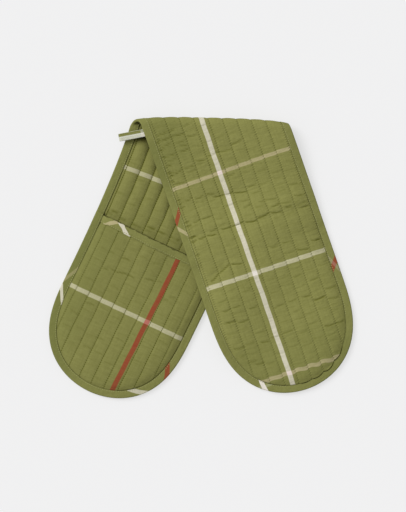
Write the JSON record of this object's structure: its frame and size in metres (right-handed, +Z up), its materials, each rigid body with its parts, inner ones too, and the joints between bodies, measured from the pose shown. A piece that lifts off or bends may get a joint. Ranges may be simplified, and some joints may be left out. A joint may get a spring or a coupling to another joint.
{
  "type": "double oven glove",
  "caption": "Double oven glove: a quilted cotton strip with a hand pocket at each end, bound edges and a hanging loop, lying folded over at its middle.",
  "frame": {"origin": "on the surface it lies on, under the middle of the glove's box", "axes": "+Z up from the surface, +Y from the arms' tips towards the fold, +X towards the upper arm's side"},
  "size_m": [0.4121, 0.3811, 0.025],
  "materials": {
    "quilted_cotton": "matte olive green cotton, quilted over wadding, with a woven windowpane check",
    "tape_cotton": "matte olive green cotton tape, cut on the bias from the same cloth",
    "loop_tape": "matte cotton tape, half green and half cream"
  },
  "bodies": {
    "root": {"base_panel": "quilted_cotton", "lower_pocket": "quilted_cotton", "upper_pocket": "quilted_cotton", "edge_binding": "tape_cotton", "lower_mouth_binding": "tape_cotton", "upper_mouth_binding": "tape_cotton", "hanging_loop": "loop_tape"}
  },
  "joints": []
}
